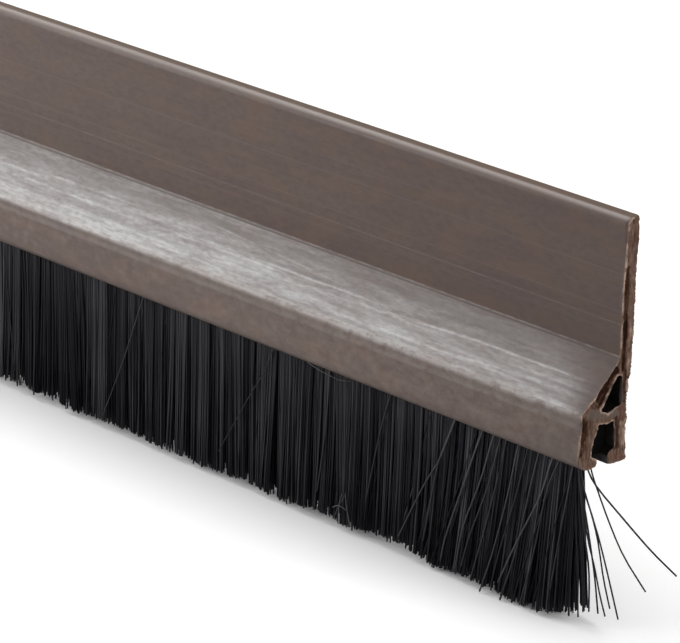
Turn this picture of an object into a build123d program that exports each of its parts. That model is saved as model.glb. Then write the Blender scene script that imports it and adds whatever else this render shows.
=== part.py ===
from build123d import *
import math
import os

# Door bottom brush: a strip that closes the gap under a door. A rigid extruded
# carrier has a flat flange for the door, a slanted hollow hood and a lipped
# channel below it. A fused brush strip is slid into the channel from one end,
# and self-adhesive tape with its release liner covers the back of the flange.
#
# Millimetres. +X runs along the strip, -Y faces the room, +Y faces the door and
# +Z is up. The origin is the middle of the liner's outer face.

# Driving dimensions

strip_length = 1000.0

# Flange, flat at the back
flange_height = 14.6  # top edge down to the foot, where the hood leaves it
flange_thickness = 1.8
front_edge_radius = 0.9  # rolled front edge along the top
rear_edge_radius = 0.3
foot_radius = 0.35  # hollow corner between flange and hood

# Hood, the slanted face over the hollow
carrier_depth = 7.3  # flat back to the hood's front corner
hood_angle = 40.5  # fall below the horizontal, in degrees
hood_corner_radius = 0.7
hood_wall_top = 1.05  # the wall thickens on its way down
hood_wall_foot = 1.95

# Hollow under the hood
hollow_height = 5.25  # foot of the flange down to the web
hollow_rear_wall = 1.3
hollow_apex_radius = 0.45
hollow_corner_radius = 0.3

# Back of the carrier, drawn in behind the hollow
flat_below_foot = 0.5  # the flat back runs on below the foot
pinch = 0.5
pinch_radius = 5.0
wall_splay = 2.7  # both channel walls lean outwards, in degrees

# Channel for the brush
web_thickness = 1.05
channel_height = 3.2  # web down to the root of the lips
channel_top_width = 2.65
channel_foot_width = 3.4
channel_corner_radius = 0.4
rear_wall = 1.7

# Lips that hook under the brush
front_lip_reach = 0.85
front_lip_thickness = 1.1
rear_lip_reach = 0.95
rear_lip_thickness = 1.6
lip_fall = 25.0  # the lips' upper faces slope to the slot, in degrees
lip_root_radius = 0.15
front_lip_tip_radius = 0.3
rear_lip_tip_radius = 0.4
front_heel_radius = 1.6  # outer corner under the front wall
rear_heel_radius = 0.15

# Brush strip
spine_recess = 1.0  # the spine stops short of the carrier's cut ends
bristle_recess = 2.6  # the last tufts at each end are lost when it is cut
spine_clearance = 0.12  # round the spine, apart from its seat on the lips
spine_corner_radius = 0.3
slot_clearance = 0.08  # each side of the bristles in the slot
bristle_drop = 18.6  # seat on the lips down to the tips
bristle_tip_width = 3.6
bristle_neck_height = 1.5  # straight stretch through the slot

# Self-adhesive tape and its liner
tape_width = 11.0
tape_thickness = 0.8
tape_setback = 1.5  # from each cut end
liner_thickness = 0.12
liner_overhang = 0.3  # past the tape's long edges

# Levels and planes that follow from them

back_y = -(tape_thickness + liner_thickness)
front_flange_y = back_y - flange_thickness
hood_front_y = back_y - carrier_depth

top_z = flange_height / 2
foot_z = top_z - flange_height
hood_front_z = foot_z - (carrier_depth - flange_thickness) * math.tan(math.radians(hood_angle))
web_top_z = foot_z - hollow_height
ceiling_z = web_top_z - web_thickness
lip_root_z = ceiling_z - channel_height
front_bottom_z = lip_root_z - front_lip_thickness
rear_bottom_z = lip_root_z - rear_lip_thickness

pinch_z = web_top_z
splay_slope = math.tan(math.radians(wall_splay))
lip_slope = math.tan(math.radians(lip_fall))


def front_face_y(z):
    """Outer face of the front wall, which leans out from the hood's corner."""
    return hood_front_y - (hood_front_z - z) * splay_slope


def rear_face_y(z):
    """Outer face of the rear wall, which leans out from the pinch."""
    return back_y - pinch + (pinch_z - z) * splay_slope


def under_hood(z, wall):
    """Where a line that lies this far inside the hood's face crosses a level."""
    rise = z + wall / math.cos(math.radians(hood_angle)) - foot_z
    return front_flange_y + rise / math.tan(math.radians(hood_angle))


# Channel faces at the ceiling and at the lips

rear_ceiling_y = rear_face_y(ceiling_z) - rear_wall
front_ceiling_y = rear_ceiling_y - channel_top_width
rear_root_y = rear_face_y(lip_root_z) - rear_wall
front_root_y = rear_root_y - channel_foot_width
rear_tip_y = rear_root_y - rear_lip_reach
front_tip_y = front_root_y + front_lip_reach
rear_tip_z = lip_root_z - rear_lip_reach * lip_slope
front_tip_z = lip_root_z - front_lip_reach * lip_slope
slot_width = rear_tip_y - front_tip_y
slot_y = (rear_tip_y + front_tip_y) / 2

# The hollow's apex, where its rear face meets the inside of the hood
apex_y = back_y - hollow_rear_wall
apex_z = (
    foot_z
    - (front_flange_y - apex_y) * math.tan(math.radians(hood_angle))
    - hood_wall_top / math.cos(math.radians(hood_angle))
)

# Section planes, each looking along +X from one end
carrier_plane = Plane.YZ.offset(-strip_length / 2)
spine_plane = Plane.YZ.offset(spine_recess - strip_length / 2)
bristle_plane = Plane.YZ.offset(bristle_recess - strip_length / 2)
tape_plane = Plane.YZ.offset(tape_setback - strip_length / 2)
spine_length = strip_length - 2 * spine_recess
bristle_length = strip_length - 2 * bristle_recess
tape_length = strip_length - 2 * tape_setback


# Carrier: one extruded section, open at the slot between its lips

# Each corner of the outline is a point and the radius that rounds it
carrier_corners = [
    ((back_y, top_z), rear_edge_radius),
    ((front_flange_y, top_z), front_edge_radius),
    ((front_flange_y, foot_z), foot_radius),
    ((hood_front_y, hood_front_z), hood_corner_radius),
    ((front_face_y(front_bottom_z), front_bottom_z), front_heel_radius),
    ((front_tip_y, front_bottom_z), front_lip_tip_radius),
    ((front_tip_y, front_tip_z), front_lip_tip_radius),
    ((front_root_y, lip_root_z), lip_root_radius),
    ((front_ceiling_y, ceiling_z), channel_corner_radius),
    ((rear_ceiling_y, ceiling_z), channel_corner_radius),
    ((rear_root_y, lip_root_z), lip_root_radius),
    ((rear_tip_y, rear_tip_z), rear_lip_tip_radius),
    ((rear_tip_y, rear_bottom_z), rear_lip_tip_radius),
    ((rear_face_y(rear_bottom_z), rear_bottom_z), rear_heel_radius),
    ((rear_face_y(pinch_z), pinch_z), pinch_radius),
    ((back_y, foot_z - flat_below_foot), pinch_radius),
]

hollow_corners = [
    ((apex_y, apex_z), hollow_apex_radius),
    ((under_hood(web_top_z, hood_wall_foot), web_top_z), hollow_corner_radius),
    ((apex_y, web_top_z), hollow_corner_radius),
]

with BuildPart() as carrier_profile:
    with BuildSketch(carrier_plane):
        with BuildLine():
            FilletPolyline(
                *[point for point, radius in carrier_corners],
                radius=[radius for point, radius in carrier_corners],
                close=True,
            )
        make_face()
        with BuildLine():
            FilletPolyline(
                *[point for point, radius in hollow_corners],
                radius=[radius for point, radius in hollow_corners],
                close=True,
            )
        make_face(mode=Mode.SUBTRACT)
    extrude(amount=strip_length)


# Spine: the fused heads of the bristles, a key that seats on both lips

seat_inset = spine_clearance * lip_slope
spine_top_z = ceiling_z - spine_clearance

spine_corners = [
    ((front_ceiling_y + spine_clearance, spine_top_z), spine_corner_radius),
    ((front_root_y + spine_clearance, lip_root_z - seat_inset), spine_corner_radius),
    ((front_tip_y, front_tip_z), 0),
    ((rear_tip_y, rear_tip_z), 0),
    ((rear_root_y - spine_clearance, lip_root_z - seat_inset), spine_corner_radius),
    ((rear_ceiling_y - spine_clearance, spine_top_z), spine_corner_radius),
]

with BuildPart() as brush_spine:
    with BuildSketch(spine_plane):
        with BuildLine():
            FilletPolyline(
                *[point for point, radius in spine_corners],
                radius=[radius for point, radius in spine_corners],
                close=True,
            )
        make_face()
    extrude(amount=spine_length)


# Bristles: the room that they fill, narrow in the slot and wider at the tips

neck_front_y = front_tip_y + slot_clearance
neck_rear_y = rear_tip_y - slot_clearance
seat_slope = (rear_tip_z - front_tip_z) / slot_width
neck_bottom_z = min(front_tip_z, rear_tip_z) - bristle_neck_height
tip_z = lip_root_z - bristle_drop

with BuildPart() as bristle_pile:
    with BuildSketch(bristle_plane):
        with BuildLine():
            Polyline(
                (neck_front_y, front_tip_z + slot_clearance * seat_slope),
                (neck_front_y, neck_bottom_z),
                (slot_y - bristle_tip_width / 2, tip_z),
                (slot_y + bristle_tip_width / 2, tip_z),
                (neck_rear_y, neck_bottom_z),
                (neck_rear_y, rear_tip_z - slot_clearance * seat_slope),
                close=True,
            )
        make_face()
    extrude(amount=bristle_length)


# Tape and liner, flat on the back of the flange

with BuildPart() as adhesive_tape:
    with BuildSketch(tape_plane):
        with Locations((back_y, 0)):
            Rectangle(tape_thickness, tape_width, align=(Align.MIN, Align.CENTER))
    extrude(amount=tape_length)

with BuildPart() as release_liner:
    with BuildSketch(tape_plane):
        with Locations((back_y + tape_thickness, 0)):
            Rectangle(
                liner_thickness,
                tape_width + 2 * liner_overhang,
                align=(Align.MIN, Align.CENTER),
            )
    extrude(amount=tape_length)


# Each piece is written under its own name

carrier_profile.part.label = "carrier_profile"
brush_spine.part.label = "brush_spine"
bristle_pile.part.label = "bristle_pile"
adhesive_tape.part.label = "adhesive_tape"
release_liner.part.label = "release_liner"

os.makedirs("parts", exist_ok=True)
export_step(carrier_profile.part, "parts/carrier_profile.step")
export_step(brush_spine.part, "parts/brush_spine.step")
export_step(bristle_pile.part, "parts/bristle_pile.step")
export_step(adhesive_tape.part, "parts/adhesive_tape.step")
export_step(release_liner.part, "parts/release_liner.step")
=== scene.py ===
import math

import bpy
import numpy as np
from mathutils import Matrix
from mathutils.geometry import delaunay_2d_cdt


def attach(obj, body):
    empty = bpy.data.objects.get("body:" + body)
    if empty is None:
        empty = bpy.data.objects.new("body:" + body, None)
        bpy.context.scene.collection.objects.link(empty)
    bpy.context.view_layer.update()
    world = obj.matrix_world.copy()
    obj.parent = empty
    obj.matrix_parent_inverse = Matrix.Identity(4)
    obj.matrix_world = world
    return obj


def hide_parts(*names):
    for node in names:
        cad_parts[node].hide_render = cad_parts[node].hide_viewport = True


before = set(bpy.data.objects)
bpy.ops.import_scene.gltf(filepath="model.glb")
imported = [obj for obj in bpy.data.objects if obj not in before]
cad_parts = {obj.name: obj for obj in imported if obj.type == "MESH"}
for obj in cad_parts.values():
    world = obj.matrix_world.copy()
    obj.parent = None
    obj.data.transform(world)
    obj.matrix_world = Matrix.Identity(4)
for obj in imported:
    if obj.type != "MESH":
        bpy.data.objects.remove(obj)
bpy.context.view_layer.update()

# A door bottom brush: brown extruded carrier, black fused brush strip in its
# channel, foam tape and release liner on the back of the flange.
# Section sizes are in millimetres, as in the CAD source, and MM turns them
# into the metres that every object here is in.

MM = 0.001

# Carrier section

STRIP_LENGTH = 1000.0
FLANGE_HEIGHT = 14.6
FLANGE_THICKNESS = 1.8
CARRIER_DEPTH = 7.3
HOOD_ANGLE = math.radians(40.5)
HOOD_WALL_TOP = 1.05
HOOD_WALL_FOOT = 1.95
HOLLOW_HEIGHT = 5.25
HOLLOW_REAR_WALL = 1.3
FLAT_BELOW_FOOT = 0.5
PINCH = 0.5
WALL_SPLAY = math.radians(2.7)
WEB_THICKNESS = 1.05
CHANNEL_HEIGHT = 3.2
CHANNEL_TOP_WIDTH = 2.65
CHANNEL_FOOT_WIDTH = 3.4
REAR_WALL = 1.7
FRONT_LIP_REACH = 0.85
FRONT_LIP_THICKNESS = 1.1
REAR_LIP_REACH = 0.95
REAR_LIP_THICKNESS = 1.6
LIP_FALL = math.radians(25.0)
TAPE_WIDTH = 11.0
TAPE_THICKNESS = 0.8
TAPE_SETBACK = 1.5
LINER_THICKNESS = 0.12
LINER_OVERHANG = 0.3
BRISTLE_DROP = 18.6
BRISTLE_TIP_WIDTH = 3.6
BRISTLE_RECESS = 2.6
NECK_HEIGHT = 1.5
SLOT_CLEARANCE = 0.08

END_X = STRIP_LENGTH / 2
BACK_Y = -(TAPE_THICKNESS + LINER_THICKNESS)
FLANGE_Y = BACK_Y - FLANGE_THICKNESS
HOOD_Y = BACK_Y - CARRIER_DEPTH
TOP_Z = FLANGE_HEIGHT / 2
FOOT_Z = TOP_Z - FLANGE_HEIGHT
HOOD_Z = FOOT_Z - (CARRIER_DEPTH - FLANGE_THICKNESS) * math.tan(HOOD_ANGLE)
WEB_Z = FOOT_Z - HOLLOW_HEIGHT
CEILING_Z = WEB_Z - WEB_THICKNESS
ROOT_Z = CEILING_Z - CHANNEL_HEIGHT
FRONT_BOTTOM_Z = ROOT_Z - FRONT_LIP_THICKNESS
REAR_BOTTOM_Z = ROOT_Z - REAR_LIP_THICKNESS
SPLAY = math.tan(WALL_SPLAY)
TIP_Z = ROOT_Z - BRISTLE_DROP


def front_face_y(z):
    """Outer face of the front wall, which leans out from the hood's corner."""
    return HOOD_Y - (HOOD_Z - z) * SPLAY


def rear_face_y(z):
    """Outer face of the rear wall, which leans out from the pinch."""
    return BACK_Y - PINCH + (WEB_Z - z) * SPLAY


def under_hood_y(z, wall):
    """Where a line this far inside the hood's face crosses a level."""
    rise = z + wall / math.cos(HOOD_ANGLE) - FOOT_Z
    return FLANGE_Y + rise / math.tan(HOOD_ANGLE)


REAR_CEILING_Y = rear_face_y(CEILING_Z) - REAR_WALL
FRONT_CEILING_Y = REAR_CEILING_Y - CHANNEL_TOP_WIDTH
REAR_ROOT_Y = rear_face_y(ROOT_Z) - REAR_WALL
FRONT_ROOT_Y = REAR_ROOT_Y - CHANNEL_FOOT_WIDTH
REAR_TIP_Y = REAR_ROOT_Y - REAR_LIP_REACH
FRONT_TIP_Y = FRONT_ROOT_Y + FRONT_LIP_REACH
REAR_TIP_Z = ROOT_Z - REAR_LIP_REACH * math.tan(LIP_FALL)
FRONT_TIP_Z = ROOT_Z - FRONT_LIP_REACH * math.tan(LIP_FALL)
SLOT_Y = (REAR_TIP_Y + FRONT_TIP_Y) / 2
NECK_Z = min(FRONT_TIP_Z, REAR_TIP_Z) - NECK_HEIGHT
APEX_Y = BACK_Y - HOLLOW_REAR_WALL
APEX_Z = (
    FOOT_Z
    - (FLANGE_Y - APEX_Y) * math.tan(HOOD_ANGLE)
    - HOOD_WALL_TOP / math.cos(HOOD_ANGLE)
)

# Each corner of the section is a point (y, z) and the radius that rounds it
OUTER_CORNERS = [
    ((BACK_Y, TOP_Z), 0.3),
    ((FLANGE_Y, TOP_Z), 0.9),
    ((FLANGE_Y, FOOT_Z), 0.35),
    ((HOOD_Y, HOOD_Z), 0.7),
    ((front_face_y(FRONT_BOTTOM_Z), FRONT_BOTTOM_Z), 1.6),
    ((FRONT_TIP_Y, FRONT_BOTTOM_Z), 0.3),
    ((FRONT_TIP_Y, FRONT_TIP_Z), 0.3),
    ((FRONT_ROOT_Y, ROOT_Z), 0.15),
    ((FRONT_CEILING_Y, CEILING_Z), 0.4),
    ((REAR_CEILING_Y, CEILING_Z), 0.4),
    ((REAR_ROOT_Y, ROOT_Z), 0.15),
    ((REAR_TIP_Y, REAR_TIP_Z), 0.4),
    ((REAR_TIP_Y, REAR_BOTTOM_Z), 0.4),
    ((rear_face_y(REAR_BOTTOM_Z), REAR_BOTTOM_Z), 0.15),
    ((rear_face_y(WEB_Z), WEB_Z), 5.0),
    ((BACK_Y, FOOT_Z - FLAT_BELOW_FOOT), 5.0),
]
HOLLOW_CORNERS = [
    ((APEX_Y, APEX_Z), 0.45),
    ((under_hood_y(WEB_Z, HOOD_WALL_FOOT), WEB_Z), 0.3),
    ((APEX_Y, WEB_Z), 0.3),
]
# Runs of the outline between corners, by the corner they start from
TOP_RUN, FLANGE_RUN, HOOD_RUN, FRONT_RUN = 0, 1, 2, 3
CHANNEL_RUNS = range(6, 12)


# Random and smooth numbers, the same in every run

CELLS = 65536
CELLS_2D = 1024


def lattice(count, seed):
    return np.random.default_rng(seed).random(count)


def eased(share):
    return share * share * (3 - 2 * share)


def fade(value, start, end):
    """0 up to start, 1 from end, smooth between; also with start above end."""
    return eased(np.clip((np.asarray(value, float) - start) / (end - start), 0, 1))


def drift(x, pitch, seed):
    """Smooth random values from -1 to 1 along a line, a new one each pitch."""
    cells = np.asarray(x, float) / pitch + 4096.37
    low = np.floor(cells).astype(int)
    share = eased(cells - low)
    table = lattice(CELLS, seed) * 2 - 1
    return table[low % CELLS] * (1 - share) + table[(low + 1) % CELLS] * share


def drift_2d(x, y, pitch_x, pitch_y, seed):
    """Smooth random values from -1 to 1 over a plane."""
    cell_x = np.asarray(x, float) / pitch_x + 512.3
    cell_y = np.asarray(y, float) / pitch_y + 512.7
    low_x, low_y = np.floor(cell_x).astype(int), np.floor(cell_y).astype(int)
    share_x, share_y = eased(cell_x - low_x), eased(cell_y - low_y)
    table = (lattice(CELLS_2D * CELLS_2D, seed) * 2 - 1).reshape(CELLS_2D, CELLS_2D)

    def row(j):
        left = table[low_x % CELLS_2D, j % CELLS_2D]
        right = table[(low_x + 1) % CELLS_2D, j % CELLS_2D]
        return left * (1 - share_x) + right * share_x

    return row(low_y) * (1 - share_y) + row(low_y + 1) * share_y


# Meshes from arrays

def build_mesh(name, points, quads, triangles, values=None, smooth=True):
    """A mesh object from points in metres, its faces, and named point values."""
    mesh = bpy.data.meshes.new(name)
    quads = np.asarray(quads, np.int32).reshape(-1, 4)
    triangles = np.asarray(triangles, np.int32).reshape(-1, 3)
    loops = np.concatenate([quads.ravel(), triangles.ravel()])
    totals = np.concatenate([np.full(len(quads), 4), np.full(len(triangles), 3)])
    starts = np.concatenate([[0], np.cumsum(totals)[:-1]])
    mesh.vertices.add(len(points))
    mesh.vertices.foreach_set("co", np.asarray(points, np.float32).ravel())
    mesh.loops.add(len(loops))
    mesh.loops.foreach_set("vertex_index", loops)
    mesh.polygons.add(len(totals))
    mesh.polygons.foreach_set("loop_start", starts.astype(np.int32))
    mesh.update(calc_edges=True)
    mesh.polygons.foreach_set("use_smooth", np.full(len(totals), smooth))
    for key, value in (values or {}).items():
        attribute = mesh.attributes.new(key, "FLOAT", "POINT")
        attribute.data.foreach_set("value", np.asarray(value, np.float32))
    mesh.validate()
    piece = bpy.data.objects.new(name, mesh)
    bpy.context.scene.collection.objects.link(piece)
    return piece


def tube_faces(count, rings, base=0):
    """Quads between rings of points that follow one another."""
    here = np.arange(count)
    quads = []
    for k in range(rings - 1):
        a = base + k * count + here
        b = base + k * count + (here + 1) % count
        quads.append(np.stack([a, a + count, b + count, b], 1))
    return np.concatenate(quads)


# Materials from nodes

class Field:
    """The output of a node: a number, place or colour that varies over a surface."""

    def __init__(self, tree, kind, inputs=None, output=0, **settings):
        node = tree.nodes.new(kind)
        for key, value in settings.items():
            setattr(node, key, value)
        for key, value in (inputs or {}).items():
            plug(node.inputs[key], value)
        self.tree = tree
        self.socket = node.outputs[output]

    def calc(self, operation, other=0.0, clamp=False):
        return number(self.tree, operation, self, other, clamp)

    def __add__(self, other):
        return self.calc("ADD", other)

    def __sub__(self, other):
        return self.calc("SUBTRACT", other)

    def __rsub__(self, other):
        return number(self.tree, "SUBTRACT", other, self)

    def __mul__(self, other):
        return self.calc("MULTIPLY", other)

    def __truediv__(self, other):
        return self.calc("DIVIDE", other)

    def span(self, low, high, to_low=0.0, to_high=1.0):
        """Maps low..high to to_low..to_high, smoothly and clamped."""
        inputs = {0: self, 1: low, 2: high, 3: to_low, 4: to_high}
        return Field(self.tree, "ShaderNodeMapRange", inputs, interpolation_type="SMOOTHSTEP")

    def mapped(self, scale=(1.0, 1.0, 1.0), offset=(0.0, 0.0, 0.0), turn=(0.0, 0.0, 0.0)):
        """This place scaled, then turned, then moved."""
        return Field(self.tree, "ShaderNodeMapping", {0: self, 1: offset, 2: turn, 3: scale})

    def noise(self, scale, detail=2.0, rough=0.5, offset=(0, 0, 0), turn=(0.0, 0.0, 0.0)):
        """Noise over this place, with its own scale along each axis."""
        place = self.mapped(scale, offset, turn)
        inputs = {"Vector": place, "Scale": 1.0, "Detail": detail, "Roughness": rough}
        return Field(self.tree, "ShaderNodeTexNoise", inputs)


def plug(socket, value):
    """Links a field to a socket, or sets the socket to a number or colour."""
    if isinstance(value, Field):
        value.tree.links.new(value.socket, socket)
    elif socket.type == "RGBA":
        socket.default_value = (*value, 1.0)
    else:
        socket.default_value = value


def number(tree, operation, a, b=0.0, clamp=False):
    return Field(tree, "ShaderNodeMath", {0: a, 1: b}, operation=operation, use_clamp=clamp)


def strongest(fields):
    """The largest of several fields at each place."""
    best, *others = fields
    for field in others:
        best = best.calc("MAXIMUM", field)
    return best


def mix(share, a, b, clamp=True):
    """Colour a where the share is 0, and b where it is 1."""
    inputs = {0: share, 6: a, 7: b}
    return Field(share.tree, "ShaderNodeMix", inputs, 2, data_type="RGBA", clamp_factor=clamp)


def layered(colour, *layers):
    """A colour under layers of (share, colour), each over the ones before."""
    for share, layer in layers:
        colour = mix(share, colour, layer)
    return colour


def point_value(tree, name):
    return Field(tree, "ShaderNodeAttribute", None, "Fac", attribute_name=name)


def object_place(tree):
    return Field(tree, "ShaderNodeTexCoord", None, "Object")


def new_material(name):
    material = bpy.data.materials.new(name)
    material.use_nodes = True
    return material, material.node_tree


def finished(material, colour, rough, specular=0.5, relief=None):
    """The material with its colour, roughness, specular level and relief set.

    relief is the height, its depth in metres and its strength.
    """
    shader = material.node_tree.nodes["Principled BSDF"]
    plug(shader.inputs["Base Color"], colour)
    plug(shader.inputs["Roughness"], rough)
    shader.inputs["Specular IOR Level"].default_value = specular
    if relief:
        inputs = dict(zip(("Height", "Distance", "Strength"), relief))
        plug(shader.inputs["Normal"], Field(material.node_tree, "ShaderNodeBump", inputs))
    return material


def dress(piece, *materials):
    piece.data.materials.clear()
    for material in materials:
        piece.data.materials.append(material)


# Section outlines

def corner_arc(before, corner, after, step, arc_steps):
    """Points on the arc that rounds one corner of a section."""
    before, here, after = np.array(before[0]), np.array(corner[0]), np.array(after[0])
    radius = corner[1]
    arrive = (here - before) / np.linalg.norm(here - before)
    leave = (after - here) / np.linalg.norm(after - here)
    turn = math.atan2(arrive[0] * leave[1] - arrive[1] * leave[0], float(arrive @ leave))
    inset = radius * math.tan(abs(turn) / 2)
    side = math.copysign(1.0, turn)
    centre = here - arrive * inset + side * radius * np.array([-arrive[1], arrive[0]])
    y, z = here - arrive * inset - centre
    pieces = max(arc_steps, int(math.ceil(radius * abs(turn) / step)))
    arc = []
    for angle in np.linspace(0, turn, pieces + 1):
        cos, sin = math.cos(angle), math.sin(angle)
        arc.append(centre + np.array([y * cos - z * sin, y * sin + z * cos]))
    return arc


def rounded_outline(corners, step, arc_steps):
    """Points (y, z) round a section, with the corner or run each lies on.

    A point on the run after corner i has the label i, and a point on the arc
    of corner i has the label i - 0.5.
    """
    count = len(corners)
    arcs = []
    for i, corner in enumerate(corners):
        arcs.append(corner_arc(corners[i - 1], corner, corners[(i + 1) % count], step, arc_steps))
    points, labels = [], []
    for i, arc in enumerate(arcs):
        points += arc
        labels += [i - 0.5] * len(arc)
        start, end = arc[-1], arcs[(i + 1) % count][0]
        pieces = int(math.ceil(np.linalg.norm(end - start) / step))
        for k in range(1, pieces):
            points.append(start + (end - start) * k / pieces)
            labels.append(float(i))
    return np.array(points), np.array(labels)


def along_outline(points):
    """Distance round a closed outline to each of its points."""
    gaps = np.linalg.norm(np.roll(points, -1, 0) - points, axis=1)
    return np.concatenate([[0], np.cumsum(gaps)[:-1]])


def outward(points):
    """Unit normal to the right of travel at each point of a closed outline."""
    tangent = np.roll(points, -1, 0) - np.roll(points, 1, 0)
    tangent /= np.linalg.norm(tangent, axis=1)[:, None]
    return np.stack([tangent[:, 1], -tangent[:, 0]], 1)


def inside(points, outline):
    """Which points lie inside a closed outline."""
    x, y = points[:, 0][:, None], points[:, 1][:, None]
    a, b = outline, np.roll(outline, -1, 0)
    crosses = (a[:, 1] > y) != (b[:, 1] > y)
    rise = np.where(b[:, 1] == a[:, 1], 1e-12, b[:, 1] - a[:, 1])
    at = a[:, 0] + (y - a[:, 1]) * (b[:, 0] - a[:, 0]) / rise
    return (crosses & (x < at)).sum(1) % 2 == 1


def distance_to(points, outline):
    """Distance from each point to the nearest outline point."""
    best = np.full(len(points), 1e9)
    for start in range(0, len(outline), 200):
        part = outline[start : start + 200]
        gap = np.linalg.norm(points[:, None] - part[None], axis=2)
        best = np.minimum(best, gap.min(1))
    return best


# Carrier: extruded section with saw-cut ends

OUTLINE_STEP = 0.13
ARC_STEPS = 6
CUT_POINT_STEP = 0.1
CUT_ROW_SHARE = 0.87  # rows lie closer than the points in them
RING_DEPTHS = [0, 0.05, 0.11, 0.18, 0.27, 0.4, 0.6, 0.9, 1.4, 2.2, 3.5, 6, 10, 16, 25, 38, 55, 75]
MIDDLE_STEP = 25.0
SAW_DEPTH = 1.2  # how far in from a cut end the raggedness reaches
BURR_DEPTH = 0.3
SHARP_ANGLE = math.radians(50)
RAGGED_SEED, CUT_SEED, RIM_SEED, POINT_SEED = 100, 300, 340, 77


def ring_places():
    """X of each ring in millimetres, its depth from the nearest end, and that end."""
    middle = np.arange(RING_DEPTHS[-1] + MIDDLE_STEP, END_X + 1, MIDDLE_STEP)
    depths = RING_DEPTHS + [d for d in middle if d < END_X - 1]
    near = [(END_X - d, d, 1) for d in depths]
    far = [(d - END_X, d, -1) for d in reversed(depths)]
    return near + [(0.0, END_X, 1)] + far


# How the saw dragged the edges of the near cut: a place (y, z) on the edge,
# and how far the plastic is moved there, in y and z
OUTER_DRAGS = [
    (-1.3, 7.3, 0, 0), (-0.95, 6.8, -0.15, 0), (-2.4, 7.2, 0.06, -0.05), (-2.72, 6.3, 0.12, 0),
    (-2.72, 5.4, 0.15, 0), (-2.72, 5, 0.05, 0), (-2.72, 3.4, 0.05, 0), (-2.72, 2.6, 0.02, 0),
    (-2.72, 1.5, -0.05, 0), (-2.72, -0.6, -0.1, 0), (-2.72, -2.1, -0.11, 0),
    (-2.72, -3.6, -0.05, 0), (-2.72, -6.8, 0, 0), (-6.6, -10.6, 0, 0.03),
    (-7.1, -11.04, -0.1, 0.12), (-7.6, -11.47, -0.2, 0.22), (-7.95, -11.8, -0.22, 0.22),
    (-8.15, -12.1, -0.13, 0.1), (-8.25, -12.5, 0.08, 0), (-8.26, -12.75, 0.14, 0),
    (-8.28, -13.3, 0.03, 0), (-8.32, -14.2, -0.06, 0), (-8.38, -15.4, -0.13, 0),
    (-8.42, -16.2, -0.18, 0), (-8.3, -16.95, -0.08, 0), (-7.8, -17.5, 0, 0),
    (-6.2, -17.9, 0, -0.04), (-5.47, -17.6, -0.14, -0.05), (-5.5, -17.35, -0.14, 0),
    (-6.03, -16.94, 0, 0), (-6.3, -16.78, -0.17, 0.15), (-6.17, -16, -0.3, 0),
    (-6.07, -15.44, -0.31, 0), (-5.94, -14.8, -0.24, 0), (-5.88, -14.44, -0.11, 0),
    (-5.78, -14, 0.03, 0), (-5.6, -13.72, 0, 0.2), (-5, -13.6, 0, -0.06), (-4.1, -13.6, 0, -0.2),
    (-3.37, -13.6, 0, -0.14), (-3.04, -14.2, -0.11, 0), (-3.01, -14.75, 0.08, 0),
    (-2.98, -15.5, 0.14, 0), (-2.95, -16.2, 0.04, 0), (-2.92, -16.7, -0.08, 0),
    (-3.72, -17.17, 0, 0.12), (-3.87, -17.5, -0.04, 0.08), (-3.8, -18.2, 0.15, 0.1),
    (-3.4, -18.4, 0.1, 0.02), (-2.2, -18.4, 0, -0.1), (-1.25, -18.4, 0.08, -0.15),
    (-1.15, -18.2, 0.09, 0), (-1.18, -17.65, -0.17, 0), (-1.2, -17.1, 0.03, 0),
    (-1.25, -16.1, -0.1, 0), (-1.29, -15.3, 0.02, 0), (-1.32, -14.7, -0.14, 0),
    (-1.35, -14.1, 0.05, 0), (-1.41, -12.8, -0.09, 0), (-1.33, -11.4, -0.15, 0),
    (-1.24, -10.5, -0.04, 0), (-1.15, -9.85, -0.24, 0), (-1.13, -9.6, 0.03, 0),
    (-0.98, -8.2, -0.09, 0), (-0.92, -6.8, -0.16, 0), (-0.92, -5.9, 0, 0),
    (-0.92, -1.7, -0.04, 0), (-0.92, -0.7, 0.03, 0), (-0.92, -0.2, -0.11, 0),
    (-0.92, 1.9, -0.08, 0), (-0.92, 3.6, 0, 0), (-0.92, 4.8, 0.03, 0), (-0.92, 6.3, -0.05, 0),
]
HOLLOW_DRAGS = [
    (-2.65, -9.1, -0.08, -0.08), (-3.5, -9.76, -0.04, 0.04), (-4.29, -10.69, 0.03, -0.03),
    (-4.98, -11.51, 0.11, -0.09), (-5.4, -12, 0.02, -0.02), (-5.75, -12.5, 0.26, 0.33),
    (-5.3, -12.55, 0.1, 0.33), (-4.94, -12.55, 0, 0.3), (-4.5, -12.55, 0, 0.02),
    (-4.13, -12.55, 0, -0.18), (-3.71, -12.55, 0, -0.05), (-3.22, -12.55, 0, 0.2),
    (-2.7, -12.55, 0, 0.19), (-2.28, -12.5, 0.18, 0.2), (-2.22, -12.1, 0.28, 0),
    (-2.22, -11.5, 0.3, 0), (-2.22, -10.63, 0.18, 0), (-2.22, -10, 0.08, 0),
]


def dragged(outline, path, drags):
    """The drag at each point of an outline, between those that are listed."""
    drags = np.array(drags)
    length = path[-1] + np.linalg.norm(outline[-1] - outline[0])
    at = np.array([path[np.argmin(np.hypot(*(outline - place).T))] for place in drags[:, :2]])
    order = np.argsort(at)
    moves = drags[order, 2:]
    return np.stack([np.interp(path, at[order], moves[:, k], period=length) for k in (0, 1)], 1)


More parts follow.
